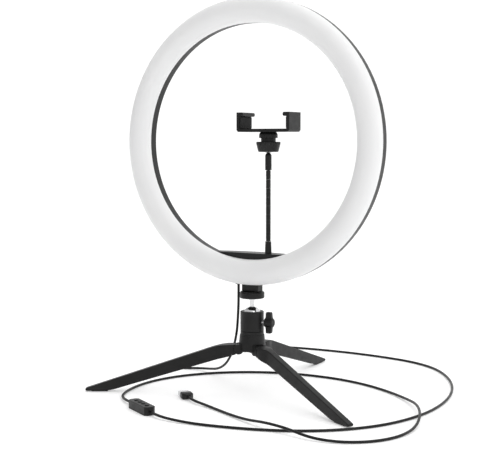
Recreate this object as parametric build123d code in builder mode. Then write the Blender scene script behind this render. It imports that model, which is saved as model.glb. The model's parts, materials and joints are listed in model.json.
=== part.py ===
from build123d import *
import os
from math import cos, pi, radians, sin, sqrt, tan

# A 13 inch ring light on a folding table tripod, with a ball head, a phone clamp on a
# gooseneck, and a USB lead with an in-line controller. Millimetres, +Z up, front to -Y.
# The origin is on the floor, in the middle of the tripod's footprint.

# ---- tripod legs: r is the distance from the column's axis ----
LEG_AZIMUTHS = {"left": -150, "right": -30, "rear": 90}
LEG_REACH = 195.5
LEG_HALF = 4.0
LEG_TIP_HALF = 3.7
SHOULDER_HALF = 7.5
HINGE_R = 15.9
HINGE_Z = 49.8
EAR_R = 5.85
PIN_R = 1.5
FOOT_START = 167.0
FOOT_Z = 0.8

# the column stands behind the middle of the footprint by half the legs' difference in reach
AXIS_Y = -(LEG_REACH * (1 - sin(radians(30))) - LEG_TIP_HALF * cos(radians(30))) / 2

# ---- column and ball head ----
HUB_R = 15.4
HUB_BOTTOM = 47.7
HUB_TOP = 66.8
HEAD_R = 13.7
HEAD_TOP = 94.2
BALL_R = 10.8
BALL_Z = 89.1
KNOB_Z = 81.9
DISC_R = 14.4
DISC_Z = 109.4
DISC_H = 8.0
BLOCK_Z = 117.5
RUNNING = 0.06

# ---- ring lamp ----
RING_R = 165.0
HOLE_R = 135.4
RING_Z = 290.4
FRONT_Y = AXIS_Y - 7.45
BACK_Y = AXIS_Y + 5.85
CROWN = 12.8
BOARD_Y = FRONT_Y + 1.0
WALL = 2.0
POST_R = 150.2
SHELF_Z = 162.3

# ---- gooseneck and phone clamp ----
NECK_X = 21.1
NECK_Y = AXIS_Y + 0.25
HOSE_BOTTOM = 176.8
HOSE_TOP = 258.0
HOSE_LINKS = 8
HOSE_R = 2.9
HOLDER_Z = 283.1
HOLDER_BALL_R = 5.8
CLAMP_Z = 302.0
CLAMP_TOP = 324.3
CLAMP_HALF = 33.9
CLAMP_DEPTH = 14.6
JAW_FACE = 29.0

# ---- cord ----
CORD_D = 3.0
FLOOR = CORD_D / 2
OVER = 6.9
EXIT_X = -18.3
EXIT_Z = 124.6
CONTROL = (-56.5, -144.8)
CONTROL_ANGLE = -30.3
CONTROL_SIZE = (45.0, 12.7, 9.3)
CONTROL_CORD_Z = 3.8
PLUG = (-38.5, -78.0)
PLUG_ANGLE = 138.0
PLUG_Z = 3.7


def upright(azimuth):
    """Vertical plane through the column's axis: local x is r, local y is height."""
    a = radians(azimuth)
    return Plane(origin=(0, AXIS_Y, 0), x_dir=(cos(a), sin(a), 0), z_dir=(sin(a), -cos(a), 0))


def level(z, x=0.0, y=0.0):
    """Horizontal plane at height z, centred on the column's axis plus (x, y)."""
    return Plane(origin=(x, AXIS_Y + y, z))


def on_sphere(radius, centre_z, z):
    """Point (distance from the axis, height) where a sphere's outline passes height z."""
    return sqrt(radius**2 - (z - centre_z) ** 2), z


COLUMN = Axis((0, AXIS_Y, 0), (0, 0, 1))
LAMP_AXIS = Axis((0, 0, RING_Z), (0, 1, 0))
NECK = Axis((NECK_X, NECK_Y, 0), (0, 0, 1))
NECK_PLANE = Plane(origin=(NECK_X, NECK_Y, 0), x_dir=(1, 0, 0), z_dir=(0, -1, 0))


# ======== tripod ========

def make_hub():
    with BuildPart() as hub:
        with BuildSketch(upright(0)):
            with BuildLine():
                Polyline((0, HUB_BOTTOM), (14.6, HUB_BOTTOM), (HUB_R, 48.6), (HUB_R, 57.2),
                         (14.4, HUB_TOP), (0, HUB_TOP), close=True)
            make_face()
        revolve(axis=COLUMN)
        for azimuth in LEG_AZIMUTHS.values():
            with BuildSketch(upright(azimuth)):
                with Locations((10.0, HINGE_Z + (EAR_R - 3.2) / 2)):
                    Rectangle(2 * (HINGE_R - 10.0), EAR_R + 3.2)
                with Locations((HINGE_R, HINGE_Z)):
                    Circle(EAR_R)
            extrude(amount=SHOULDER_HALF, both=True)
        for azimuth in LEG_AZIMUTHS.values():
            with BuildSketch(upright(azimuth)):
                with Locations((20.0, 49.0)):
                    Rectangle(20.6, 14.0)
            extrude(amount=LEG_HALF + 0.2, both=True, mode=Mode.SUBTRACT)
            with BuildSketch(upright(azimuth)):
                with Locations((HINGE_R, HINGE_Z)):
                    Circle(PIN_R)
            extrude(amount=SHOULDER_HALF, both=True, mode=Mode.SUBTRACT)
        with Locations(Plane(origin=(0, AXIS_Y, HUB_BOTTOM), z_dir=(0, 0, -1))):
            CounterBoreHole(radius=3.0, counter_bore_radius=5.2, counter_bore_depth=5.0, depth=20)
    return hub


def make_leg(azimuth):
    """The side outline, cut to the plan outline, with a round knuckle on the hinge."""
    plane = upright(azimuth)
    with BuildPart() as leg:
        with BuildSketch(plane) as side:
            with BuildLine():
                Polyline((19.0, 55.3), (37.0, 55.2), (LEG_REACH, 3.6), (LEG_REACH - 1.2, FOOT_Z),
                         (FOOT_START, FOOT_Z), (25.4, 42.1), (19.0, 43.9), close=True)
            make_face()
            fillet(side.vertices().sort_by_distance((37.0, 55.2, 0))[0], 70)
            fillet(side.vertices().sort_by_distance((FOOT_START, FOOT_Z, 0))[0], 60)
            fillet(side.vertices().sort_by_distance((LEG_REACH, 3.6, 0))[0], 1.6)
            with Locations((HINGE_R, HINGE_Z)):
                Circle(EAR_R + 0.25, mode=Mode.SUBTRACT)
        extrude(amount=SHOULDER_HALF, both=True)
        with BuildSketch(Plane(origin=(0, AXIS_Y, 0), x_dir=plane.x_dir, z_dir=(0, 0, 1))):
            with BuildLine():
                top = Line((15, SHOULDER_HALF), (27, SHOULDER_HALF))
                ease = Spline(top @ 1, (44, LEG_HALF), tangents=[(1, 0), (1, -0.01)])
                Line(ease @ 1, (LEG_REACH + 1, LEG_TIP_HALF))
                Line((LEG_REACH + 1, LEG_TIP_HALF), (LEG_REACH + 1, 0))
                Line((LEG_REACH + 1, 0), (15, 0))
                Line((15, 0), (15, SHOULDER_HALF))
            make_face()
            mirror(about=Plane.XZ)
        extrude(amount=60, mode=Mode.INTERSECT)
        with BuildSketch(plane):
            with Locations((HINGE_R, HINGE_Z)):
                Circle(EAR_R - 0.35)
            with Locations((HINGE_R + 5, HINGE_Z)):
                Rectangle(10, 9.6)
        extrude(amount=LEG_HALF, both=True)
        with BuildSketch(plane):
            with Locations((HINGE_R, HINGE_Z)):
                Circle(PIN_R + RUNNING)
        extrude(amount=LEG_HALF, both=True, mode=Mode.SUBTRACT)
        with BuildSketch(plane):
            with Locations(((FOOT_START + 190) / 2, FOOT_Z)):
                Rectangle(19.0, 1.6)
        extrude(amount=2.2, both=True, mode=Mode.SUBTRACT)
    return leg


def make_foot_pad(azimuth):
    """Rubber pad in the pocket under the foot, standing out by FOOT_Z."""
    with BuildPart() as pad:
        with BuildSketch(upright(azimuth)):
            with Locations(((FOOT_START + 190) / 2, FOOT_Z)):
                Rectangle(19.0, 1.6)
        extrude(amount=2.2, both=True)
    return pad


def make_leg_pins():
    with BuildPart() as pins:
        for azimuth in LEG_AZIMUTHS.values():
            with BuildSketch(upright(azimuth)):
                with Locations((HINGE_R, HINGE_Z)):
                    Circle(PIN_R)
            extrude(amount=SHOULDER_HALF - 0.3, both=True)
    return pins


# ======== ball head ========

def make_head_body():
    cavity = BALL_R + 0.35
    lip = sqrt(cavity**2 - (HEAD_TOP - BALL_Z) ** 2)
    with BuildPart() as body:
        with BuildSketch(upright(0)):
            with BuildLine():
                Polyline((0, HUB_TOP), (HEAD_R, HUB_TOP), (HEAD_R, 70.5), (HEAD_R - 0.5, 70.9),
                         (HEAD_R, 71.3), (HEAD_R, HEAD_TOP - 0.7), (HEAD_R - 0.7, HEAD_TOP),
                         (lip, HEAD_TOP))
                ThreePointArc((lip, HEAD_TOP), on_sphere(cavity, BALL_Z, 91.7), (cavity, BALL_Z))
                Polyline((cavity, BALL_Z), (cavity, 76.0), (0, 76.0), (0, HUB_TOP))
            make_face()
        revolve(axis=COLUMN)
        with Locations(level(HUB_TOP - 1)):
            Cylinder(3.0, 10.5, align=(Align.CENTER, Align.CENTER, Align.MIN), mode=Mode.SUBTRACT)
        with BuildSketch(Plane(origin=(0, AXIS_Y, KNOB_Z), z_dir=(1, 0, 0))):
            Circle(2.5 + RUNNING)
        extrude(amount=HEAD_R + 1, mode=Mode.SUBTRACT)
    return body


def make_head_bolt():
    """Cap screw that holds the ball head on the hub."""
    with BuildPart() as bolt:
        with BuildSketch(level(HUB_BOTTOM + 0.4)):
            Circle(5.0)
        extrude(amount=4.6)
        with BuildSketch(level(HUB_BOTTOM + 5.0)):
            Circle(2.95)
        extrude(amount=22.0)
        with BuildSketch(level(HUB_BOTTOM + 0.4)):
            RegularPolygon(2.4, 6)
        extrude(amount=3.0, mode=Mode.SUBTRACT)
    return bolt


def make_wing_knob():
    """Knob with two wings, its axis along X."""
    with BuildPart() as knob:
        with BuildSketch(Plane(origin=(17.6, AXIS_Y, KNOB_Z), z_dir=(1, 0, 0))):
            Circle(5.4)
        extrude(amount=10.4)
        fillet(knob.edges().group_by(Axis.X)[-1], 1.6)
        with BuildSketch(Plane(origin=(0, AXIS_Y, KNOB_Z), x_dir=(1, 0, 0), z_dir=(0, -1, 0))) as wing:
            with BuildLine():
                Polyline((19.3, -12.4), (25.6, -12.4), (27.0, 0), (25.6, 12.4), (19.3, 12.4),
                         (18.4, 0), close=True)
            make_face()
            fillet(wing.vertices().group_by(Axis.Y)[0] + wing.vertices().group_by(Axis.Y)[-1], 1.2)
        extrude(amount=2.6, both=True)
        with BuildSketch(Plane(origin=(17.6, AXIS_Y, KNOB_Z), z_dir=(1, 0, 0))):
            Circle(2.5)
        extrude(amount=7.0, mode=Mode.SUBTRACT)
    return knob


def make_knob_screw():
    with BuildPart() as screw:
        with BuildSketch(Plane(origin=(11.25, AXIS_Y, KNOB_Z), z_dir=(1, 0, 0))):
            Circle(2.5)
        extrude(amount=13.35)
    return screw


def make_ball_seat():
    """Nylon cup under the ball, free to turn in the body."""
    hollow = BALL_R + RUNNING
    rim_z = 84.6
    rim = sqrt(hollow**2 - (BALL_Z - rim_z) ** 2)
    bore = 5.0
    bore_z = BALL_Z - sqrt(hollow**2 - bore**2)
    with BuildPart() as seat:
        with BuildSketch(upright(0)):
            with BuildLine():
                Polyline((rim, rim_z), (11.05, rim_z), (11.05, 76.1), (bore, 76.1), (bore, bore_z))
                ThreePointArc((bore, bore_z), on_sphere(hollow, BALL_Z, 81.4), (rim, rim_z))
            make_face()
        revolve(axis=COLUMN)
    return seat


def make_ball_stud():
    """Chrome ball with a tapered stem and a quarter inch thread."""
    neck = 2.35
    neck_z = BALL_Z + sqrt(BALL_R**2 - neck**2)
    with BuildPart() as stud:
        with BuildSketch(upright(0)):
            with BuildLine():
                ThreePointArc((0, BALL_Z - BALL_R), (BALL_R, BALL_Z), (neck, neck_z))
                Polyline((neck, neck_z), (3.35, DISC_Z - 0.1), (3.15, DISC_Z - 0.1),
                         (3.15, 124.0), (0, 124.0), (0, BALL_Z - BALL_R))
            make_face()
        revolve(axis=COLUMN)
    return stud


def make_lock_disc():
    with BuildPart() as disc:
        with BuildSketch(level(DISC_Z)):
            Circle(DISC_R)
        extrude(amount=DISC_H)
        chamfer(disc.edges().group_by(Axis.Z)[-1], 1.5)
        chamfer(disc.edges().group_by(Axis.Z)[0], 0.8)
        with BuildSketch(level(DISC_Z)):
            Circle(3.15 + RUNNING)
        extrude(amount=DISC_H, mode=Mode.SUBTRACT)
    return disc


# ======== ring lamp ========

def lamp_profile_plane():
    """Local x is the distance from the lamp's axis, local y is the row's Y."""
    return Plane.XY.offset(RING_Z)


def circle_plane(y):
    """Upright plane at this y, centred on the lamp, facing the back."""
    return Plane(origin=(0, y, RING_Z), x_dir=(-1, 0, 0), z_dir=(0, 1, 0))


def make_rear_shell():
    """Open channel, with holes for the case screws, the cord and the gooseneck's stud."""
    with BuildPart() as shell:
        with BuildSketch(lamp_profile_plane()) as section:
            with BuildLine():
                Polyline((HOLE_R, FRONT_Y), (HOLE_R + 0.6, BACK_Y), (RING_R - 0.6, BACK_Y),
                         (RING_R, FRONT_Y), close=True)
            make_face()
            fillet(section.vertices().group_by(Axis.Y)[-1], 2.6)
            with BuildLine():
                Polyline((HOLE_R + WALL, FRONT_Y), (HOLE_R + WALL + 0.5, BACK_Y - WALL),
                         (RING_R - WALL - 0.5, BACK_Y - WALL), (RING_R - WALL, FRONT_Y), close=True)
            make_face(mode=Mode.SUBTRACT)
        revolve(axis=LAMP_AXIS)
        with BuildSketch(circle_plane(BACK_Y)):
            with PolarLocations(POST_R, 8, start_angle=22.5):
                Circle(1.5)
        extrude(amount=-4, mode=Mode.SUBTRACT)
        with BuildSketch(level(120, EXIT_X, 0.3)):
            Circle(2.6)
        extrude(amount=14, mode=Mode.SUBTRACT)
        with BuildSketch(Plane(origin=(NECK_X, NECK_Y, 145))):
            Circle(2.6)
        extrude(amount=25, mode=Mode.SUBTRACT)
    return shell


def make_diffuser():
    """White crowned cover, with eight screw posts behind it."""
    middle = (HOLE_R + RING_R) / 2
    half = (RING_R - HOLE_R) / 2
    with BuildPart() as diffuser:
        with BuildSketch(lamp_profile_plane()):
            with BuildLine():
                EllipticalCenterArc((middle, FRONT_Y), half, CROWN, start_angle=180, arc_size=180)
                Line((middle + half, FRONT_Y), (middle - half, FRONT_Y))
            make_face()
            with BuildLine():
                EllipticalCenterArc((middle, FRONT_Y), half - WALL, CROWN - WALL,
                                    start_angle=180, arc_size=180)
                Line((middle + half - WALL, FRONT_Y), (middle - half + WALL, FRONT_Y))
            make_face(mode=Mode.SUBTRACT)
        revolve(axis=LAMP_AXIS)
        with BuildSketch(circle_plane(FRONT_Y - CROWN + WALL / 2)):
            with PolarLocations(POST_R, 8, start_angle=22.5):
                Circle(3.0)
        extrude(amount=BACK_Y - WALL - FRONT_Y + CROWN - WALL / 2)
        with BuildSketch(circle_plane(BACK_Y - WALL)):
            with PolarLocations(POST_R, 8, start_angle=22.5):
                Circle(1.2)
        extrude(amount=-8, mode=Mode.SUBTRACT)
    return diffuser


def make_case_screws():
    with BuildPart() as screws:
        with BuildSketch(circle_plane(BACK_Y)):
            with PolarLocations(POST_R, 8, start_angle=22.5):
                Circle(2.6)
        extrude(amount=1.3)
        with BuildSketch(circle_plane(BACK_Y)):
            with PolarLocations(POST_R, 8, start_angle=22.5):
                Circle(1.2)
        extrude(amount=-9)
    return screws


def make_led_board():
    with BuildPart() as board:
        with BuildSketch(circle_plane(BOARD_Y)):
            Circle(161.5)
            Circle(139.5, mode=Mode.SUBTRACT)
            with PolarLocations(POST_R, 8, start_angle=22.5):
                Circle(3.02, mode=Mode.SUBTRACT)
        extrude(amount=1.6)
    return board


def make_led_chips():
    """120 chips in two rings, warm and cool, on the board's front."""
    with BuildPart() as chips:
        for radius in (144.5, 156.5):
            with BuildSketch(circle_plane(BOARD_Y)):
                with PolarLocations(radius, 60, start_angle=3):
                    Rectangle(2.8, 3.5)
            extrude(amount=-0.8)
    return chips


def make_rear_housing():
    """Shelf across the bottom of the hole, and the box behind the ring under it."""
    with BuildPart() as housing:
        with BuildSketch(circle_plane(FRONT_Y + 1.1)):
            Circle(HOLE_R)
            with Locations((0, SHELF_Z - RING_Z - 50)):
                Rectangle(200, 100, mode=Mode.INTERSECT)
        extrude(amount=BACK_Y - FRONT_Y - 1.1)
        with BuildSketch(Plane(origin=(0, BACK_Y, 129.0), x_dir=(1, 0, 0), z_dir=(0, 0, 1))):
            with BuildLine():
                ThreePointArc((-47, 0), (0, 7.5), (47, 0))
                Line((47, 0), (-47, 0))
            make_face()
        extrude(amount=SHELF_Z - 129.0)
        with BuildSketch(circle_plane(BACK_Y + 10)):
            Circle(RING_R - 4)
        extrude(amount=-40, mode=Mode.INTERSECT)
        with BuildSketch(Plane(origin=(0, BACK_Y, 137.5), x_dir=(1, 0, 0), z_dir=(0, 0, 1))):
            with BuildLine():
                ThreePointArc((-34, 0), (0, 5.2), (34, 0))
                Line((34, 0), (-34, 0))
            make_face()
        extrude(amount=19.5, mode=Mode.SUBTRACT)
        with BuildSketch(Plane(origin=(NECK_X, NECK_Y, 145))):
            Circle(2.6)
        extrude(amount=25, mode=Mode.SUBTRACT)
    return housing


def make_mount_block():
    """Foot of the lamp: it fits round the rim and holds the threaded insert."""
    with BuildPart() as block:
        with BuildSketch(level(BLOCK_Z, 0, 0.25)):
            Rectangle(21.5, 12.7)
        extrude(amount=12)
        chamfer(block.edges().filter_by(Axis.Z), 0.8)
        with BuildSketch(circle_plane(BACK_Y + 5)):
            Circle(RING_R)
        extrude(amount=-30, mode=Mode.SUBTRACT)
        with BuildSketch(level(BLOCK_Z)):
            Circle(4.6)
        extrude(amount=7.2, mode=Mode.SUBTRACT)
    return block


def make_thread_insert():
    with BuildPart() as insert:
        with BuildSketch(level(BLOCK_Z)):
            Circle(4.6)
        extrude(amount=7.2)
        with BuildSketch(level(BLOCK_Z)):
            Circle(3.15)
        extrude(amount=6.6, mode=Mode.SUBTRACT)
    return insert


def make_cord_gland():
    """Rubber grommet in the rim, where the lead comes out."""
    with BuildPart() as gland:
        with BuildSketch(level(EXIT_Z, EXIT_X, 0.3)):
            Circle(2.6)
        extrude(amount=5.4)
        with BuildSketch(level(EXIT_Z, EXIT_X, 0.3)):
            Circle(3.6)
        extrude(amount=1.2)
    return gland


# ======== gooseneck ========

def link_height(index):
    """Height of the hinge at the bottom of link number index, counted from 0."""
    return HOSE_BOTTOM + (HOSE_TOP - HOSE_BOTTOM) * index / HOSE_LINKS


JOINT_GAP = 0.45
KNUCKLE_R = 1.8


def turned(points):
    """Revolves an outline of (radius, height) points about the gooseneck's axis."""
    with BuildSketch(NECK_PLANE) as outline:
        with BuildLine():
            Polyline(*points, close=True)
        make_face()
    revolve(outline.sketch, axis=NECK)


def add_knuckle(z):
    with Locations((NECK_X, NECK_Y, z)):
        Sphere(KNUCKLE_R)


def cut_socket(z):
    with Locations((NECK_X, NECK_Y, z)):
        Sphere(KNUCKLE_R + RUNNING, mode=Mode.SUBTRACT)


def make_hose_base():
    """Tapered ferrule on the shelf, with a stud through the rim."""
    with BuildPart() as base:
        top = HOSE_BOTTOM - JOINT_GAP
        turned([(0, SHELF_Z), (3.9, SHELF_Z), (3.45, top), (0, top)])
        turned([(0, 149.6), (2.5, 149.6), (2.5, SHELF_Z), (0, SHELF_Z)])
        cut_socket(HOSE_BOTTOM)
    return base


def make_hose_nut():
    """Hexagon nut on the stud, inside the rim."""
    with BuildPart() as nut:
        with BuildSketch(Plane(origin=(NECK_X, NECK_Y, 150.2))):
            RegularPolygon(4.0, 6)
            Circle(2.5, mode=Mode.SUBTRACT)
        extrude(amount=2.8)
    return nut


def make_hose_link(index):
    low = link_height(index)
    high = link_height(index + 1)
    with BuildPart() as link:
        turned([(0, low + JOINT_GAP), (HOSE_R, low + JOINT_GAP),
                (HOSE_R, high - JOINT_GAP), (0, high - JOINT_GAP)])
        add_knuckle(low)
        cut_socket(high)
    return link


def make_hose_top():
    with BuildPart() as top:
        turned([(0, HOSE_TOP + JOINT_GAP), (3.7, HOSE_TOP + JOINT_GAP), (3.7, 275.3),
                (2.7, 277.3), (1.8, 277.6), (0, 277.6)])
        add_knuckle(HOSE_TOP)
        with BuildSketch(Plane(origin=(NECK_X, NECK_Y, 272.6))):
            Circle(1.8)
        extrude(amount=6, mode=Mode.SUBTRACT)
    return top


def make_holder_ball():
    neck = 1.8
    neck_z = HOLDER_Z - sqrt(HOLDER_BALL_R**2 - neck**2)
    with BuildPart() as ball:
        with BuildSketch(NECK_PLANE):
            with BuildLine():
                Polyline((0, HOLDER_Z + HOLDER_BALL_R), (0, 272.6), (neck, 272.6), (neck, neck_z))
                ThreePointArc((neck, neck_z), (HOLDER_BALL_R, HOLDER_Z),
                              (0, HOLDER_Z + HOLDER_BALL_R))
            make_face()
        revolve(axis=NECK)
    return ball


# ======== phone clamp ========

LINER_R = 6.6


def make_ball_liner():
    """Nylon cap over the ball, free to turn in the socket."""
    inner = HOLDER_BALL_R + RUNNING
    base_z = HOLDER_Z + 0.6
    with BuildPart() as liner:
        with Locations((NECK_X, NECK_Y, HOLDER_Z)):
            Sphere(LINER_R)
            Sphere(inner, mode=Mode.SUBTRACT)
        with Locations((NECK_X, NECK_Y, base_z)):
            Box(20, 20, 20, align=(Align.CENTER, Align.CENTER, Align.MAX), mode=Mode.SUBTRACT)
    return liner


def make_holder_socket():
    with BuildPart() as socket:
        turned([(0, 283.6), (8.5, 283.6), (8.5, 295.1), (10.7, 295.1), (10.7, 299.3),
                (9.0, CLAMP_Z), (0, CLAMP_Z)])
        with Locations((NECK_X, NECK_Y, HOLDER_Z)):
            Sphere(LINER_R + RUNNING, mode=Mode.SUBTRACT)
    return socket


def make_lock_nut():
    """Fluted cap nut that squeezes the ball."""
    floor_z = 279.2
    mouth = 5.1
    lip_r = HOLDER_BALL_R + 0.4
    lip_z = HOLDER_Z - sqrt(lip_r**2 - mouth**2)
    shoulder_z = 280.5
    shoulder = sqrt(lip_r**2 - (HOLDER_Z - shoulder_z) ** 2)
    bore = 8.5 + RUNNING
    with BuildPart() as nut:
        with BuildSketch(NECK_PLANE):
            with BuildLine():
                Polyline((mouth, floor_z), (11.2, floor_z), (11.8, 280.2), (14.1, 289.4),
                         (13.7, 290.8), (bore, 290.8), (bore, shoulder_z), (shoulder, shoulder_z))
                ThreePointArc((shoulder, shoulder_z), on_sphere(lip_r, HOLDER_Z, 280.0),
                              (mouth, lip_z))
                Line((mouth, lip_z), (mouth, floor_z))
            make_face()
        revolve(axis=NECK)
        with Locations(Plane(origin=(NECK_X, NECK_Y, floor_z - 1))):
            with PolarLocations(14.6, 14):
                Cylinder(1.3, 13, align=(Align.CENTER, Align.CENTER, Align.MIN), mode=Mode.SUBTRACT)
    return nut


def clamp_box(x0, x1, half_y, z0, z1, mode=Mode.ADD, mirrored=1):
    """Box from x0 to x1, measured from the gooseneck's axis; mirrored -1 flips it to the left."""
    with Locations((NECK_X + mirrored * (x0 + x1) / 2, NECK_Y, (z0 + z1) / 2)):
        Box(x1 - x0, 2 * half_y, z1 - z0, mode=mode)


BAR_TOP = 305.6
HOOK_Z = 319.7
HOOK_X = 25.6
PAD_T = 1.2
CHANNEL = (302.9, 304.7)
RAIL_START = 24.5
SPRING_Y = 5.6


def add_jaw(side):
    """Jaw wall and hook, with its outer corner rounded; side is -1 on the left."""
    plane = Plane(origin=(NECK_X, NECK_Y, 0), x_dir=(side, 0, 0), z_dir=(0, -side, 0))
    with BuildSketch(plane) as outline:
        with BuildLine():
            Polyline((JAW_FACE + PAD_T, CLAMP_Z), (CLAMP_HALF, CLAMP_Z), (CLAMP_HALF, CLAMP_TOP),
                     (HOOK_X, CLAMP_TOP), (HOOK_X, HOOK_Z), (JAW_FACE + PAD_T, HOOK_Z), close=True)
        make_face()
        fillet(outline.vertices().sort_by_distance((CLAMP_HALF, CLAMP_Z, 0))[0], 3.0)
        fillet(outline.vertices().sort_by(Axis.X)[:2], 1.8)
    extrude(outline.sketch, amount=CLAMP_DEPTH, both=True)


def make_clamp_base():
    """Left jaw and the hollow bar that the other jaw slides in."""
    with BuildPart() as base:
        add_jaw(-1)
        clamp_box(-JAW_FACE, JAW_FACE + PAD_T, CLAMP_DEPTH, CLAMP_Z, BAR_TOP, mirrored=-1)
        clamp_box(-JAW_FACE, JAW_FACE - 2.2, 10.4, *CHANNEL, mode=Mode.SUBTRACT, mirrored=-1)
    return base


def make_clamp_jaw():
    """Right jaw on a forked tongue, with open slots for the springs."""
    with BuildPart() as jaw:
        add_jaw(1)
        clamp_box(JAW_FACE + 0.1, JAW_FACE + PAD_T, CLAMP_DEPTH, CLAMP_Z, BAR_TOP)
        clamp_box(-RAIL_START, JAW_FACE + 1, 10.2, CHANNEL[0] + 0.1, CHANNEL[1] - 0.1)
        for y in (-SPRING_Y, SPRING_Y):
            with Locations((NECK_X - 8, NECK_Y + y, sum(CHANNEL) / 2)):
                Box(34, 2.2, 4, mode=Mode.SUBTRACT)
    return jaw


def make_clamp_springs():
    """Two coil springs, as closed tubes of their outer size, at rest."""
    with BuildPart() as springs:
        for y in (-SPRING_Y, SPRING_Y):
            start = (NECK_X - 26.6, NECK_Y + y, sum(CHANNEL) / 2)
            with BuildSketch(Plane(origin=start, z_dir=(1, 0, 0))):
                Circle(0.8)
            extrude(amount=35)
    return springs


def make_jaw_pad(side):
    with BuildPart() as pad:
        clamp_box(JAW_FACE, JAW_FACE + PAD_T, CLAMP_DEPTH - 1.5, BAR_TOP + 0.8, HOOK_Z - 0.8,
                  mirrored=side)
    return pad


# ======== cord ========

def drawn(points):
    """Points measured from the column's foot, moved into the part's frame."""
    return [Vector(x, AXIS_Y + y, z) for x, y, z in points]


def heading(angle):
    return Vector(cos(radians(angle)), sin(radians(angle)), 0)


TOP_ROUTE = drawn([
    (EXIT_X, 0.3, EXIT_Z), (-18.3, 0.3, 110.5), (-18.9, 0.9, 97.0), (-20.4, 2.1, 84.0),
])
LEAD_ROUTE = drawn([
    (-20.4, 2.1, 84.0), (-21.6, 3.07, 73.5), (-25.2, 6.3, 61.0), (-32.4, 13.2, 46.5),
    (-43.2, 23.2, 31.0), (-56.3, 32.8, 18.5), (-72.5, 44.0, 10.2), (-91.0, 57.5, 5.6),
    (-112.5, 68.5, 2.2), (-133.0, 62.5, FLOOR), (-151.0, 55.5, FLOOR),
    (-164.0, 66.0, FLOOR), (-165.5, 92.0, FLOOR), (-163.0, 128.0, FLOOR),
    (-156.0, 164.0, FLOOR), (-147.5, 199.0, FLOOR), (-134.0, 228.0, FLOOR),
    (-111.0, 245.5, FLOOR), (-78.0, 254.0, FLOOR), (-36.0, 258.5, FLOOR),
    (15.0, 258.5, FLOOR), (63.0, 252.5, FLOOR), (109.0, 241.0, FLOOR),
    (148.0, 216.5, FLOOR), (178.0, 177.0, FLOOR), (200.0, 132.0, FLOOR),
    (214.0, 84.0, FLOOR), (220.0, 34.5, FLOOR), (217.5, -16.0, FLOOR), (201.5, -69.0, FLOOR),
    (174.5, -107.5, FLOOR), (141.0, -134.5, FLOOR), (102.0, -152.5, FLOOR),
    (60.0, -162.5, FLOOR), (22.0, -167.0, FLOOR), (-7.0, -166.5, 2.6),
])
TAIL_ROUTE = drawn([
    (-103.8, -113.5, 2.6), (-116.5, -96.5, FLOOR),
    (-124.5, -73.0, FLOOR), (-128.0, -45.0, FLOOR), (-125.5, -14.5, FLOOR),
    (-114.0, 17.0, FLOOR), (-93.0, 47.5, FLOOR), (-64.0, 73.0, FLOOR), (-26.0, 92.5, FLOOR),
    (17.0, 101.0, FLOOR), (63.0, 100.0, FLOOR), (107.0, 87.0, FLOOR), (146.0, 65.0, FLOOR),
    (178.5, 37.0, 2.6), (203.0, 3.0, OVER), (221.5, -36.0, OVER), (229.5, -70.0, 3.0),
    (229.0, -100.0, 1.7), (220.0, -126.0, FLOOR), (203.5, -146.0, FLOOR),
    (180.0, -158.5, 1.7), (153.0, -161.0, 3.0), (124.5, -154.0, OVER),
    (94.5, -144.5, OVER), (66.0, -131.5, 3.0), (39.0, -117.5, 1.7), (14.0, -104.0, FLOOR),
    (-10.0, -93.5, 2.4),
])


def straight_out(start, direction):
    """Points where a cord leaves a face: on the face, and 15 mm straight out."""
    return [start, start + direction * 15]


CONTROL_MIDDLE = Vector(CONTROL[0], AXIS_Y + CONTROL[1], CONTROL_CORD_Z)
CONTROL_REACH = heading(CONTROL_ANGLE) * CONTROL_SIZE[0] / 2
PLUG_BACK = Vector(PLUG[0], AXIS_Y + PLUG[1], PLUG_Z)
LEAD_ROUTE += straight_out(CONTROL_MIDDLE + CONTROL_REACH, heading(CONTROL_ANGLE))[::-1]
TAIL_ROUTE = straight_out(CONTROL_MIDDLE - CONTROL_REACH, -heading(CONTROL_ANGLE)) + TAIL_ROUTE
TAIL_ROUTE += straight_out(PLUG_BACK, -heading(PLUG_ANGLE))[::-1]


def corner_radii(points):
    """Each corner's arc is as large as its two runs allow."""
    radii = []
    for before, corner, after in zip(points, points[1:], points[2:]):
        first = corner - before
        second = after - corner
        half_turn = radians(first.get_angle(second)) / 2
        radii.append(0.45 * min(first.length, second.length) / tan(half_turn))
    return radii


def make_cord(name, points):
    """Round tube along straight runs joined by tangent arcs."""
    radii = corner_radii(points)
    with BuildPart() as cord:
        with BuildLine() as path:
            FilletPolyline(*points, radius=radii)
        with BuildSketch(path.line ^ 0):
            Circle(CORD_D / 2)
        sweep(path=path.line)
    runs = [(b - a).length for a, b in zip(points, points[1:])]
    length = sum(edge.length for edge in path.edges())
    ratio = cord.part.volume / (pi * CORD_D**2 / 4 * length)
    print(f"{name}: length {length:.1f} mm, runs {min(runs):.1f} to {max(runs):.1f}, "
          f"volume / (section x length) {ratio:.4f}")
    print("  radii", " ".join(f"{r:.0f}" for r in radii))
    for first, second in zip(runs, runs[1:]):
        if max(first, second) > 2.05 * min(first, second):
            print(f"  uneven runs {first:.1f} and {second:.1f}")
    return cord


# ======== controller and plug ========

def control_plane(z):
    return Plane(origin=(CONTROL[0], AXIS_Y + CONTROL[1], z), x_dir=heading(CONTROL_ANGLE),
                 z_dir=(0, 0, 1))


CONTROL_SPLIT = 5.4
BUTTON_X = (-13.5, -4.5, 4.5, 13.5)


def control_slab(length, width, z0, z1, corner, mode=Mode.ADD):
    with BuildSketch(control_plane(z0)) as slab:
        Rectangle(length, width)
        chamfer(slab.vertices(), corner)
    extrude(slab.sketch, amount=z1 - z0, dir=(0, 0, 1), mode=mode)


def make_controller_base():
    length, width, _ = CONTROL_SIZE
    with BuildPart() as base:
        control_slab(length, width, 0, CONTROL_SPLIT, 2.6)
        control_slab(length - 3, width - 3, 1.4, CONTROL_SPLIT, 1.6, mode=Mode.SUBTRACT)
    return base


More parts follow.
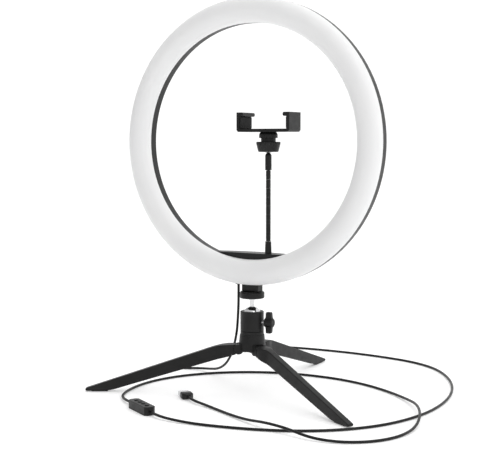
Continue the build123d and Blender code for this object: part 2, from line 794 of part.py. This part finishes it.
def make_controller_cover():
    length, width, height = CONTROL_SIZE
    with BuildPart() as cover:
        control_slab(length, width, CONTROL_SPLIT, height, 2.6)
        chamfer(cover.edges().group_by(Axis.Z)[-1], 0.5)
        control_slab(length - 3, width - 3, CONTROL_SPLIT, height - 1.4, 1.6, mode=Mode.SUBTRACT)
        with BuildSketch(control_plane(height - 2)):
            with Locations(*[(x, 0) for x in BUTTON_X]):
                Circle(2.6)
        extrude(amount=4, mode=Mode.SUBTRACT)
    return cover


def make_controller_board():
    length, width, _ = CONTROL_SIZE
    with BuildPart() as board:
        control_slab(length - 4, width - 4, 2.4, 3.6, 1.0)
        with BuildSketch(control_plane(3.6)):
            with Locations(*[(x, 0) for x in BUTTON_X]):
                Rectangle(4, 4)
        extrude(amount=1.6)
    return board


def make_button(x):
    """Round cap with a flange under the cover, 0.8 above it, on its switch's plunger."""
    height = CONTROL_SIZE[2]
    with BuildPart() as button:
        with BuildSketch(control_plane(6.1)):
            with Locations((x, 0)):
                Circle(2.3)
        extrude(amount=height + 0.7 - 6.1)
        with BuildSketch(control_plane(6.1)):
            with Locations((x, 0)):
                Circle(3.3)
        extrude(amount=1.5)
    return button


def plug_plane(distance):
    """Cross-section of the plug, this far from its cord end; local y is up."""
    along = heading(PLUG_ANGLE)
    origin = Vector(PLUG[0], AXIS_Y + PLUG[1], PLUG_Z) + along * distance
    return Plane(origin=origin, x_dir=(along.Y, -along.X, 0), z_dir=along)


def make_usb_overmold():
    with BuildPart() as overmold:
        with BuildSketch(plug_plane(0)):
            RectangleRounded(5.2, 4.6, 1.4)
        with BuildSketch(plug_plane(4.5)):
            RectangleRounded(13.2, 7.2, 1.8)
        loft()
        with BuildSketch(plug_plane(4.5)):
            RectangleRounded(13.2, 7.2, 1.8)
        extrude(amount=8.5)
        with BuildSketch(plug_plane(9.0)):
            Rectangle(12.0, 4.5)
        extrude(amount=4, mode=Mode.SUBTRACT)
    return overmold


def make_usb_shell():
    with BuildPart() as shell:
        with BuildSketch(plug_plane(9.0)):
            Rectangle(12.0, 4.5)
            Rectangle(11.4, 3.9, mode=Mode.SUBTRACT)
        extrude(amount=16.0)
    return shell


def make_usb_tongue():
    """Insulator on the lower side, with the four contacts' blades in front of it."""
    with BuildPart() as tongue:
        with BuildSketch(plug_plane(9.0)):
            Rectangle(11.4, 3.9)
        extrude(amount=3.5)
        with BuildSketch(plug_plane(12.5)):
            with Locations((0, -1.0)):
                Rectangle(11.4, 1.9)
        extrude(amount=12.0)
    return tongue


def save(builder, name):
    builder.part.label = name
    export_step(builder.part, f"parts/{name}.step")


os.makedirs("parts", exist_ok=True)

save(make_hub(), "hub")
save(make_leg_pins(), "leg_pins")
for side_name, leg_azimuth in LEG_AZIMUTHS.items():
    save(make_leg(leg_azimuth), f"leg_{side_name}")
    save(make_foot_pad(leg_azimuth), f"foot_pad_{side_name}")
save(make_head_body(), "head_body")
save(make_head_bolt(), "head_bolt")
save(make_wing_knob(), "wing_knob")
save(make_knob_screw(), "knob_screw")
save(make_ball_seat(), "ball_seat")
save(make_ball_stud(), "ball_stud")
save(make_lock_disc(), "lock_disc")

save(make_rear_shell(), "rear_shell")
save(make_diffuser(), "diffuser")
save(make_case_screws(), "case_screws")
save(make_led_board(), "led_board")
save(make_led_chips(), "led_chips")
save(make_rear_housing(), "rear_housing")
save(make_mount_block(), "mount_block")
save(make_thread_insert(), "thread_insert")
save(make_cord_gland(), "cord_gland")

save(make_hose_base(), "hose_base")
save(make_hose_nut(), "hose_nut")
for link_index in range(HOSE_LINKS):
    save(make_hose_link(link_index), f"hose_link_{link_index + 1}")
save(make_hose_top(), "hose_top")
save(make_holder_ball(), "holder_ball")

save(make_ball_liner(), "ball_liner")
save(make_holder_socket(), "holder_socket")
save(make_lock_nut(), "lock_nut")
save(make_clamp_base(), "clamp_base")
save(make_clamp_jaw(), "clamp_jaw")
save(make_clamp_springs(), "clamp_springs")
save(make_jaw_pad(-1), "jaw_pad_fixed")
save(make_jaw_pad(1), "jaw_pad_sliding")

save(make_cord("cord_top", TOP_ROUTE), "cord_top")
save(make_cord("cord_lead", LEAD_ROUTE), "cord_lead")
save(make_cord("cord_tail", TAIL_ROUTE), "cord_tail")
save(make_controller_base(), "controller_base")
save(make_controller_cover(), "controller_cover")
save(make_controller_board(), "controller_board")
for button_name, button_x in zip(("power", "mode", "dimmer", "brighter"), BUTTON_X):
    save(make_button(button_x), f"button_{button_name}")
save(make_usb_overmold(), "usb_overmold")
save(make_usb_shell(), "usb_shell")
save(make_usb_tongue(), "usb_tongue")
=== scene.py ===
import json
import math

import bmesh
import bpy
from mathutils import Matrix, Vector


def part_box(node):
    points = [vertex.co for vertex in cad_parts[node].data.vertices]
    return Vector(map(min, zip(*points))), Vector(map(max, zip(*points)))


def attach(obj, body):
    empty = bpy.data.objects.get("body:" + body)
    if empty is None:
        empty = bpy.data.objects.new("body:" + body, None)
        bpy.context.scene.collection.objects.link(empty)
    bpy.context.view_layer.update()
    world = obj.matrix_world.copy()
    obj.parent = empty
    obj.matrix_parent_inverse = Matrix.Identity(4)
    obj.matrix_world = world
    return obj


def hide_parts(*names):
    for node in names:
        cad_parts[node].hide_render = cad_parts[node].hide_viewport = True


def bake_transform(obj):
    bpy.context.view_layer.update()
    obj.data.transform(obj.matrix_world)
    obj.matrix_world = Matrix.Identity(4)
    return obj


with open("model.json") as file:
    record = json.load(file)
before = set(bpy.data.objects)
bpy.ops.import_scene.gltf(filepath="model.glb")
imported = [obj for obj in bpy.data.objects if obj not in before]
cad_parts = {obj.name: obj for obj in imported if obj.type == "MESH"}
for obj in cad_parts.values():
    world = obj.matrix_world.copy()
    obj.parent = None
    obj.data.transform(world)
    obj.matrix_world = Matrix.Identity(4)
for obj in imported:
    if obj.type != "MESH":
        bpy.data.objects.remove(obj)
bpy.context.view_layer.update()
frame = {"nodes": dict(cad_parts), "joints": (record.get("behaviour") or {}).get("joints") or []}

# ---- where the column stands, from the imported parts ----
seat_low, seat_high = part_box("ball_seat")
AXIS_Y = (seat_low.y + seat_high.y) / 2
CORD_D = 0.003

# heights of a cord's middle in mm: lying on the floor, and passing over another cord
FLOOR = CORD_D * 1000 / 2
OVER = 6.9


def drawn(points):
    """Points in mm, measured from the column's foot, as metres in the row frame."""
    return [Vector((x / 1000, y / 1000 + AXIS_Y, z / 1000)) for x, y, z in points]


# ======== camera ========

LENS_MM = 77.99
CAMERA_PLACE = (0.6072, AXIS_Y - 1.0959, 0.2901)
CAMERA_LOOK = Vector((-0.48497, 0.87122, -0.07604))

camera_data = bpy.data.cameras.new("camera")
camera_data.sensor_width = 36
camera_data.sensor_fit = "HORIZONTAL"
camera_data.lens = LENS_MM
camera = bpy.data.objects.new("camera", camera_data)
bpy.context.scene.collection.objects.link(camera)
camera.location = CAMERA_PLACE
camera.rotation_euler = CAMERA_LOOK.to_track_quat("-Z", "Y").to_euler()
bpy.context.scene.camera = camera


# ======== materials ========

def new_material(name, colour, rough, metallic=0.0):
    material = bpy.data.materials.new(name)
    material.use_nodes = True
    shader = material.node_tree.nodes["Principled BSDF"]
    shader.inputs["Base Color"].default_value = (*colour, 1)
    shader.inputs["Roughness"].default_value = rough
    shader.inputs["Metallic"].default_value = metallic
    return material, shader


def noise(material, scale, detail=3.0, stretch=(1, 1, 1)):
    """Noise texture on object coordinates; its factor output is returned."""
    nodes = material.node_tree.nodes
    links = material.node_tree.links
    place = nodes.new("ShaderNodeTexCoord")
    mapping = nodes.new("ShaderNodeMapping")
    mapping.inputs["Scale"].default_value = stretch
    texture = nodes.new("ShaderNodeTexNoise")
    texture.inputs["Scale"].default_value = scale
    texture.inputs["Detail"].default_value = detail
    links.new(place.outputs["Object"], mapping.inputs["Vector"])
    links.new(mapping.outputs["Vector"], texture.inputs["Vector"])
    return texture.outputs["Fac"]


def spread(material, factor, low, high):
    """Maps a factor of 0.3 to 0.7 onto low to high."""
    ranged = material.node_tree.nodes.new("ShaderNodeMapRange")
    ranged.inputs["From Min"].default_value = 0.3
    ranged.inputs["From Max"].default_value = 0.7
    ranged.inputs["To Min"].default_value = low
    ranged.inputs["To Max"].default_value = high
    material.node_tree.links.new(factor, ranged.inputs["Value"])
    return ranged.outputs["Result"]


def vary_colour(material, shader, factor, dark, light):
    mix = material.node_tree.nodes.new("ShaderNodeMix")
    mix.data_type = "RGBA"
    mix.inputs["A"].default_value = (*dark, 1)
    mix.inputs["B"].default_value = (*light, 1)
    material.node_tree.links.new(factor, mix.inputs["Factor"])
    material.node_tree.links.new(mix.outputs["Result"], shader.inputs["Base Color"])


def bump(material, shader, factor, distance, strength=0.5):
    node = material.node_tree.nodes.new("ShaderNodeBump")
    node.inputs["Strength"].default_value = strength
    node.inputs["Distance"].default_value = distance
    material.node_tree.links.new(factor, node.inputs["Height"])
    material.node_tree.links.new(node.outputs["Normal"], shader.inputs["Normal"])


def moulded(name, dark, light, rough, grain=900.0, depth=0.00004, stretch=(1, 1, 1)):
    """Moulded plastic or rubber: fine grain, uneven sheen and a slight drift in colour."""
    material, shader = new_material(name, light, rough)
    shader.inputs["Specular IOR Level"].default_value = 0.24
    drift = noise(material, 45.0, 4.0)
    vary_colour(material, shader, spread(material, drift, 0.0, 1.0), dark, light)
    sheen = noise(material, 120.0, 5.0, stretch)
    material.node_tree.links.new(spread(material, sheen, rough - 0.05, rough + 0.07),
                                 shader.inputs["Roughness"])
    bump(material, shader, noise(material, grain, 2.0, stretch), depth)
    return material


def metal(name, colour, rough, stretch=(1, 1, 1), depth=0.00001):
    material, shader = new_material(name, colour, rough, 1.0)
    marks = noise(material, 300.0, 6.0, stretch)
    material.node_tree.links.new(spread(material, marks, rough * 0.7, rough * 1.4),
                                 shader.inputs["Roughness"])
    bump(material, shader, marks, depth, 0.3)
    return material


def grey(value, warm=0.0):
    return (value * (1 + warm), value, value * (1 - warm))


BLACK = moulded("black_plastic", grey(0.007), grey(0.012), 0.42)
SHELL = moulded("shell_plastic", grey(0.007), grey(0.012), 0.38)
LEG = moulded("leg_plastic", grey(0.007), grey(0.012), 0.46)
RUBBER = moulded("rubber", grey(0.014), grey(0.022), 0.75, grain=600.0, depth=0.00006)
PAD = moulded("pad_foam", grey(0.018), grey(0.026), 0.80, grain=1200.0, depth=0.00005)
CORD = moulded("cord_skin", grey(0.005), grey(0.009), 0.40, grain=500.0, depth=0.00003)
HOSE = moulded("hose_coat", grey(0.008), grey(0.015), 0.40, grain=700.0)
NYLON = moulded("nylon", (0.60, 0.58, 0.52), (0.68, 0.66, 0.60), 0.5)
BOARD = moulded("board_mask", (0.60, 0.63, 0.60), (0.68, 0.70, 0.68), 0.4, grain=300.0)
CHIP = moulded("phosphor", (0.80, 0.66, 0.18), (0.88, 0.76, 0.28), 0.35)
CONTROL = moulded("controller_plastic", grey(0.007), grey(0.012), 0.40)
CAP = moulded("button_plastic", grey(0.010), grey(0.016), 0.5)
STEEL = metal("steel", (0.60, 0.60, 0.61), 0.28, stretch=(1, 1, 0.1))
CHROME = metal("chrome", (0.64, 0.64, 0.65), 0.09)
BRASS = metal("brass", (0.78, 0.58, 0.24), 0.3)

WHITE, white_shader = new_material("diffuser_white", (0.82, 0.82, 0.82), 0.38)
vary_colour(WHITE, white_shader, spread(WHITE, noise(WHITE, 14.0), 0.0, 1.0),
            (0.79, 0.79, 0.795), (0.82, 0.82, 0.82))
white_shader.inputs["Subsurface Weight"].default_value = 0.25
white_shader.inputs["Subsurface Radius"].default_value = (0.004, 0.004, 0.004)
bump(WHITE, white_shader, noise(WHITE, 1200.0, 2.0), 0.00003, 0.3)

PAINT = {
    "hub": BLACK, "head_body": BLACK, "wing_knob": BLACK, "lock_disc": BLACK,
    "rear_shell": SHELL, "rear_housing": SHELL, "mount_block": SHELL,
    "clamp_base": BLACK, "clamp_jaw": BLACK, "holder_socket": BLACK, "lock_nut": BLACK,
    "leg_left": LEG, "leg_right": LEG, "leg_rear": LEG,
    "foot_pad_left": RUBBER, "foot_pad_right": RUBBER, "foot_pad_rear": RUBBER,
    "cord_gland": RUBBER, "jaw_pad_fixed": PAD, "jaw_pad_sliding": PAD,
    "cord_top": CORD, "cord_lead": CORD, "cord_tail": CORD,
    "leg_pins": HOSE, "head_bolt": STEEL, "knob_screw": STEEL, "case_screws": STEEL,
    "hose_nut": STEEL, "clamp_springs": STEEL, "usb_shell": STEEL,
    "ball_stud": CHROME, "holder_ball": CHROME, "ball_seat": NYLON, "ball_liner": NYLON,
    "diffuser": WHITE, "thread_insert": BRASS, "hose_base": BLACK, "hose_top": BLACK,
    "led_board": BOARD, "controller_board": BOARD, "led_chips": CHIP,
    "controller_base": CONTROL, "controller_cover": CONTROL, "usb_overmold": CONTROL,
    "usb_tongue": CONTROL, "button_power": CAP, "button_mode": CAP,
    "button_dimmer": CAP, "button_brighter": CAP,
}


def paint(thing, material):
    thing.data.materials.clear()
    thing.data.materials.append(material)


for node_name, node in frame["nodes"].items():
    paint(node, PAINT.get(node_name, HOSE))


# ======== cords ========

EXIT = (-18.3, 0.3, 124.6)
TOP_ROUTE = drawn([EXIT, (-18.3, 0.3, 110.5), (-18.9, 0.9, 97.0), (-20.4, 2.1, 84.0)])
LEAD_ROUTE = drawn([
    (-20.4, 2.1, 84.0), (-21.6, 3.07, 73.5), (-25.2, 6.3, 61.0), (-32.4, 13.2, 46.5),
    (-43.2, 23.2, 31.0), (-56.3, 32.8, 18.5), (-72.5, 44.0, 10.2), (-91.0, 57.5, 5.6),
    (-112.5, 68.5, 2.2), (-133.0, 62.5, FLOOR), (-151.0, 55.5, FLOOR),
    (-164.0, 66.0, FLOOR), (-165.5, 92.0, FLOOR), (-163.0, 128.0, FLOOR),
    (-156.0, 164.0, FLOOR), (-147.5, 199.0, FLOOR), (-134.0, 228.0, FLOOR),
    (-111.0, 245.5, FLOOR), (-78.0, 254.0, FLOOR), (-36.0, 258.5, FLOOR),
    (15.0, 258.5, FLOOR), (63.0, 252.5, FLOOR), (109.0, 241.0, FLOOR),
    (148.0, 216.5, FLOOR), (178.0, 177.0, FLOOR), (200.0, 132.0, FLOOR),
    (214.0, 84.0, FLOOR), (220.0, 34.5, FLOOR), (217.5, -16.0, FLOOR), (201.5, -69.0, FLOOR),
    (174.5, -107.5, FLOOR), (141.0, -134.5, FLOOR), (102.0, -152.5, FLOOR),
    (60.0, -162.5, FLOOR), (22.0, -167.0, FLOOR), (-7.0, -166.5, 2.6),
    (-24.1, -163.7, 3.8), (-37.1, -156.2, 3.8),
])
TAIL_ROUTE = drawn([
    (-75.9, -133.4, 3.8), (-88.9, -125.9, 3.8), (-103.8, -113.5, 2.6), (-116.5, -96.5, FLOOR),
    (-124.5, -73.0, FLOOR), (-128.0, -45.0, FLOOR), (-125.5, -14.5, FLOOR),
    (-114.0, 17.0, FLOOR), (-93.0, 47.5, FLOOR), (-64.0, 73.0, FLOOR), (-26.0, 92.5, FLOOR),
    (17.0, 101.0, FLOOR), (63.0, 100.0, FLOOR), (107.0, 87.0, FLOOR), (146.0, 65.0, FLOOR),
    (178.5, 37.0, 2.6), (203.0, 3.0, OVER), (221.5, -36.0, OVER), (229.5, -70.0, 3.0),
    (229.0, -100.0, 1.7), (220.0, -126.0, FLOOR), (203.5, -146.0, FLOOR),
    (180.0, -158.5, 1.7), (153.0, -161.0, 3.0), (124.5, -154.0, OVER),
    (94.5, -144.5, OVER), (66.0, -131.5, 3.0), (39.0, -117.5, 1.7), (14.0, -104.0, FLOOR),
    (-10.0, -93.5, 2.4), (-27.4, -88.0, 3.7), (-38.5, -78.0, 3.7),
])


def cord_curve(name, points, thick=True):
    """One smooth open spline with these control points."""
    data = bpy.data.curves.new(name, "CURVE")
    data.dimensions = "3D"
    spline = data.splines.new("NURBS")
    spline.points.add(len(points) - 1)
    for knot, point in zip(spline.points, points):
        knot.co = (*point, 1)
    spline.order_u = 3
    spline.use_endpoint_u = True
    spline.resolution_u = 12
    data.resolution_u = 12
    if thick:
        data.bevel_depth = CORD_D / 2
        data.bevel_resolution = 4
        data.use_fill_caps = True
    thing = bpy.data.objects.new(name, data)
    bpy.context.scene.collection.objects.link(thing)
    return thing


def line_of(points):
    """Points along the route's spline."""
    thin = cord_curve("line", points, thick=False)
    bpy.context.view_layer.update()
    mesh = bpy.data.meshes.new_from_object(thin.evaluated_get(bpy.context.evaluated_depsgraph_get()))
    line = [vertex.co.copy() for vertex in mesh.vertices]
    bpy.data.objects.remove(thin)
    bpy.data.meshes.remove(mesh)
    return line


def cord_mesh(name, points):
    curve = cord_curve(name, points)
    bpy.context.view_layer.update()
    mesh = bpy.data.meshes.new_from_object(curve.evaluated_get(bpy.context.evaluated_depsgraph_get()))
    bpy.data.objects.remove(curve)
    thing = bpy.data.objects.new(name, mesh)
    bpy.context.scene.collection.objects.link(thing)
    for face in mesh.polygons:
        face.use_smooth = True
    return thing


top_line = line_of(TOP_ROUTE)
cord_hang = cord_mesh("cord_hang", TOP_ROUTE)
paint(cord_hang, CORD)
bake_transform(cord_hang)
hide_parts("cord_top")

lead_line = line_of(LEAD_ROUTE)
cord_floor = cord_mesh("cord_floor", LEAD_ROUTE)
paint(cord_floor, CORD)
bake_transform(cord_floor)
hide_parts("cord_lead")

cord_end = cord_curve("cord_end", TAIL_ROUTE)
cord_end.data.materials.append(CORD)
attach(cord_end, "stand")
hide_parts("cord_tail")
tail_line = line_of(TAIL_ROUTE)


# ======== pieces built as meshes ========

def add_mesh(name, vertices, faces, material, body):
    mesh = bpy.data.meshes.new(name)
    mesh.from_pydata(vertices, [], faces)
    mesh.update()
    built = bmesh.new()
    built.from_mesh(mesh)
    bmesh.ops.recalc_face_normals(built, faces=built.faces)
    built.to_mesh(mesh)
    built.free()
    for face in mesh.polygons:
        face.use_smooth = True
    thing = bpy.data.objects.new(name, mesh)
    bpy.context.scene.collection.objects.link(thing)
    thing.data.materials.append(material)
    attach(thing, body)
    return thing


def turned(name, outline, centre, material, body, steps):
    """Closed solid of revolution from (radius, height) pairs."""
    vertices = []
    faces = []
    rows = len(outline)
    for step in range(steps):
        angle = 2 * math.pi * step / steps
        for radius, height in outline:
            vertices.append((centre[0] + radius * math.cos(angle),
                             centre[1] + radius * math.sin(angle), height))
    for step in range(steps):
        following = (step + 1) % steps
        for row in range(rows - 1):
            faces.append((step * rows + row, following * rows + row,
                          following * rows + row + 1, step * rows + row + 1))
    low = len(vertices)
    vertices.append((centre[0], centre[1], outline[0][1]))
    vertices.append((centre[0], centre[1], outline[-1][1]))
    for step in range(steps):
        following = (step + 1) % steps
        faces.append((low, following * rows, step * rows))
        faces.append((low + 1, step * rows + rows - 1, following * rows + rows - 1))
    return add_mesh(name, vertices, faces, material, body)


def softened(node_name, body, voxel, rounds=3):
    """The CAD shape with its sharp edges eased, as moulding leaves them."""
    source = frame["nodes"][node_name]
    thing = bpy.data.objects.new(f"soft_{node_name}", source.data.copy())
    bpy.context.scene.collection.objects.link(thing)
    remesh = thing.modifiers.new("remesh", "REMESH")
    remesh.mode = "VOXEL"
    remesh.voxel_size = voxel
    smooth = thing.modifiers.new("smooth", "SMOOTH")
    smooth.factor = 0.5
    smooth.iterations = rounds
    bpy.context.view_layer.update()
    mesh = bpy.data.meshes.new_from_object(thing.evaluated_get(bpy.context.evaluated_depsgraph_get()))
    thing.modifiers.clear()
    thing.data = mesh
    for face in mesh.polygons:
        face.use_smooth = True
    paint(thing, PAINT[node_name])
    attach(thing, body)
    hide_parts(node_name)


# voxel sizes, in metres
SMALL_PART = 0.00035
SOCKET = 0.0003
CLAMP = 0.00028
LEG_PART = 0.0006
PLUG_PART = 0.00025

softened("wing_knob", "knob", SMALL_PART, rounds=6)
softened("lock_nut", "nut", SMALL_PART)
softened("lock_disc", "disc", SMALL_PART)
softened("mount_block", "lamp", SMALL_PART)
softened("holder_socket", "clamp", SOCKET)
softened("clamp_base", "clamp", CLAMP)
softened("clamp_jaw", "jaw", CLAMP)
for side in ("left", "right", "rear"):
    softened(f"leg_{side}", f"{side}_leg", LEG_PART)
softened("usb_overmold", "stand", PLUG_PART)

# the gooseneck's links: six rounded ridges each, meeting in the valley at each hinge
link_low, link_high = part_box("hose_link_1")
neck = Vector(((link_low.x + link_high.x) / 2, (link_low.y + link_high.y) / 2, 0))
crest = (link_high.x - link_low.x) / 2
hinges = [joint["pos_m"][2] for joint in frame["joints"] if joint["name"].startswith("neck_bend")]
hinges.sort()
LINKS = 8
RIDGES = 6
STEPS_PER_RIDGE = 8
VALLEY = 0.80
for index in range(LINKS):
    low = hinges[index]
    high = hinges[index + 1]
    pitch = (high - low) / RIDGES
    outline = []
    for ridge in range(RIDGES):
        for part in range(STEPS_PER_RIDGE):
            along = (part + 0.5) / STEPS_PER_RIDGE
            height = low + pitch * (ridge + along)
            bulge = math.sin(math.pi * along) ** 0.6
            outline.append((crest * (VALLEY + (1 - VALLEY) * bulge), height))
    link = turned(f"hose_ridges_{index + 1}", outline, neck, HOSE, f"neck_{index + 1}", steps=32)
    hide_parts(f"hose_link_{index + 1}")


# ======== floor and light ========

FLOOR_HALF = 12
FLOOR_DROP = 0.0002
FLOOR_GLOW = 0.22
BRIGHT_SIDE = (0.50, 0.75, 0.43)
DIM_SKY = 0.32
BRIGHT_SKY = 1.12
LIGHT_WATTS = 5

floor_mesh = bpy.data.meshes.new("floor")
floor_corners = [(FLOOR_HALF * x, FLOOR_HALF * y, 0) for x, y in ((-1, -1), (1, -1), (1, 1), (-1, 1))]
floor_mesh.from_pydata(floor_corners, [], [(0, 1, 2, 3)])
floor = bpy.data.objects.new("floor", floor_mesh)
bpy.context.scene.collection.objects.link(floor)
FLOOR_PAINT, floor_shader = new_material("floor_white", (0.90, 0.90, 0.90), 0.6)
floor_shader.inputs["Specular IOR Level"].default_value = 0.1
floor_shader.inputs["Emission Color"].default_value = (1, 1, 1, 1)
floor_shader.inputs["Emission Strength"].default_value = FLOOR_GLOW
floor.data.materials.append(FLOOR_PAINT)
floor.location.z = -FLOOR_DROP

world = bpy.data.worlds.new("world")
bpy.context.scene.world = world
world.use_nodes = True
backdrop = world.node_tree.nodes["Background"]
backdrop.inputs["Color"].default_value = (1, 1, 1, 1)
sky = world.node_tree.nodes.new("ShaderNodeTexCoord")
towards = world.node_tree.nodes.new("ShaderNodeVectorMath")
towards.operation = "DOT_PRODUCT"
towards.inputs[1].default_value = BRIGHT_SIDE
dimmer = world.node_tree.nodes.new("ShaderNodeMapRange")
dimmer.inputs["From Min"].default_value = -0.8
dimmer.inputs["From Max"].default_value = 0.3
dimmer.inputs["To Min"].default_value = DIM_SKY
dimmer.inputs["To Max"].default_value = BRIGHT_SKY
world.node_tree.links.new(sky.outputs["Generated"], towards.inputs[0])
world.node_tree.links.new(towards.outputs["Value"], dimmer.inputs["Value"])
world.node_tree.links.new(dimmer.outputs["Result"], backdrop.inputs["Strength"])


def area_light(name, place, target, size, power):
    data = bpy.data.lights.new(name, "AREA")
    data.size = size
    data.energy = power
    light = bpy.data.objects.new(name, data)
    bpy.context.scene.collection.objects.link(light)
    light.location = place
    light.rotation_euler = (Vector(target) - Vector(place)).to_track_quat("-Z", "Y").to_euler()


area_light("key", (1.4, -0.6, 1.6), (0, 0, 0.2), 1.0, LIGHT_WATTS)
area_light("top", (0.0, 0.2, 2.2), (0, 0, 0), 1.6, LIGHT_WATTS)
bpy.context.scene.view_settings.view_transform = "Standard"
